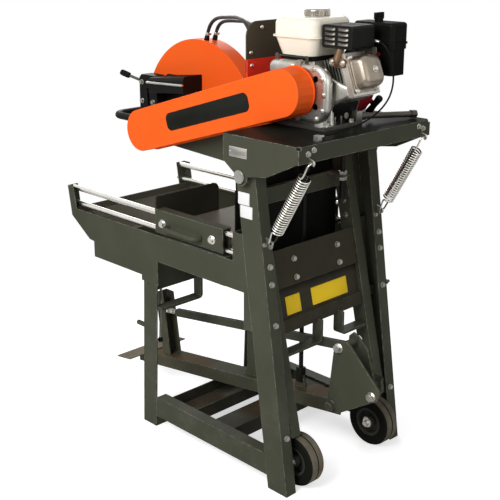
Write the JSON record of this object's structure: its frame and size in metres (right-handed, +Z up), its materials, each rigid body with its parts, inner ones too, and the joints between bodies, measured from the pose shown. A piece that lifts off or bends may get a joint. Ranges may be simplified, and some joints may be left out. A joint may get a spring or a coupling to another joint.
{
  "type": "masonry bench saw",
  "caption": "Petrol masonry bench saw: tilting sprung head with belt-driven arbor and guard, sliding cart on rails over a water tray, raked folded-steel stand, foot pedal and rear wheels.",
  "frame": {"origin": "middle of the footprint, on the floor", "axes": "+Z up, +Y toward the engine end, +X toward the belt guard's side"},
  "size_m": [0.584, 1.2629, 1.373],
  "materials": {
    "stand_paint": "satin olive-grey paint",
    "orange_paint": "gloss orange paint",
    "black_paint": "satin black paint",
    "bright_steel": "ground bar",
    "zinc": "zinc plated",
    "black_rubber": "matt rubber",
    "tyre": "dusty solid tyre",
    "hub": "moulded hub",
    "casting": "as cast",
    "red_paint": "dark red paint",
    "cream_paint": "gloss cream paint",
    "black_plastic": "moulded",
    "tread": "worn and dusty"
  },
  "bodies": {
    "frame": {"front_legs": "stand_paint", "rear_legs": "stand_paint", "rear_uprights": "stand_paint", "base_beams": "stand_paint", "floor_members": "stand_paint", "side_panels": "stand_paint", "water_tray": "stand_paint", "cross_plates": "stand_paint", "rear_panel": "stand_paint", "guide_rails": "bright_steel", "hanger_straps": "stand_paint", "splash_curtain": "black_rubber", "pivot_pins": "zinc", "wheel_axles": "zinc", "frame_bolts": "zinc", "stop_rod": "black_paint", "pedal_fulcrum": "stand_paint", "return_springs": "zinc"},
    "head": {"deck": "stand_paint", "arm": "stand_paint", "arbor_housing": "stand_paint", "blade_guard": "orange_paint", "belt_guard": "orange_paint", "belt_backplate": "orange_paint", "guard_clamp": "black_paint", "operator_handle": "black_paint", "splash_shield": "orange_paint", "shield_flap": "black_rubber", "engine_block": "casting", "rocker_cover": "casting", "fan_shroud": "red_paint", "fuel_tank": "cream_paint", "muffler": "black_paint", "air_cleaner": "black_plastic", "oil_tube": "black_paint", "head_bolts": "zinc", "drive_belt": "black_rubber", "water_hose_1": "black_rubber", "water_hose_2": "black_rubber", "throttle_cable": "black_plastic"},
    "arbor": {"arbor": "bright_steel"},
    "crank": {"crank_pulley": "bright_steel"},
    "cart": {"cart_table": "stand_paint", "cart_sides": "stand_paint", "cart_fence": "stand_paint", "cart_glides": "bright_steel", "cart_handle": "stand_paint"},
    "near wheel": {"wheel_near": "hub", "tyre_near": "tyre"},
    "far wheel": {"wheel_far": "hub", "tyre_far": "tyre"},
    "pedal": {"pedal_beam": "stand_paint", "pedal_tread": "tread", "pedal_plates": "stand_paint", "pedal_link": "stand_paint", "pedal_bolts": "zinc"},
    "pull rod": {"pull_rod": "stand_paint"},
    "fuel cap": {"fuel_cap": "zinc"},
    "starter grip": {"recoil_handle": "black_plastic"},
    "clamp lever": {"clamp_lever": "zinc"}
  },
  "joints": [
    {"name": "head_tilt", "type": "hinge", "parent": "frame", "child": "head", "pos_m": [0, 0.3104, 0.937], "axis": [1, 0, 0], "range_deg": [0, 9], "stiffness_Nm_per_rad": 450, "springref_deg": -42.97, "deforming": ["return_springs"]},
    {"name": "arbor_spin", "type": "hinge", "parent": "head", "child": "arbor", "pos_m": [0, -0.2806, 0.966], "axis": [1, 0, 0], "continuous": true},
    {"name": "crank_spin", "type": "hinge", "parent": "head", "child": "crank", "pos_m": [0, 0.3434, 1.156], "axis": [1, 0, 0], "continuous": true},
    {"name": "cart_slide", "type": "slide", "parent": "frame", "child": "cart", "axis": [0, -1, 0], "range_m": [0, 0.4]},
    {"name": "near_wheel_spin", "type": "hinge", "parent": "frame", "child": "near wheel", "pos_m": [0.175, 0.4474, 0.08], "axis": [1, 0, 0], "continuous": true},
    {"name": "far_wheel_spin", "type": "hinge", "parent": "frame", "child": "far wheel", "pos_m": [-0.175, 0.4474, 0.08], "axis": [1, 0, 0], "continuous": true},
    {"name": "pedal_rock", "type": "hinge", "parent": "frame", "child": "pedal", "pos_m": [0, 0.4534, 0.209], "axis": [1, 0, 0], "range_deg": [0, 1.12]},
    {"name": "rod_swing", "type": "hinge", "parent": "head", "child": "pull rod", "pos_m": [0, 0.2904, 0.937], "axis": [1, 0, 0], "range_deg": [-9.1, 0]},
    {"name": "cap_turn", "type": "hinge", "parent": "head", "child": "fuel cap", "pos_m": [-0.024, 0.3054, 1.362], "axis": [0, 0, 1], "range_deg": [0, 90]},
    {"name": "starter_pull", "type": "slide", "parent": "head", "child": "starter grip", "axis": [0, 0.8486, 0.5291], "range_m": [0, 0.3], "stiffness_N_per_m": 25, "springref_m": -0.3},
    {"name": "clamp_turn", "type": "hinge", "parent": "head", "child": "clamp lever", "pos_m": [-0.067, -0.5376, 1.072], "axis": [0, 1, 0], "range_deg": [-60, 60]}
  ],
  "couplings": [
    {"joint": "crank_spin", "follows": "arbor_spin", "ratio": 1.15},
    {"joint": "pedal_rock", "follows": "head_tilt", "ratio": 0.1222},
    {"joint": "rod_swing", "follows": "head_tilt", "ratio": -1}
  ]
}
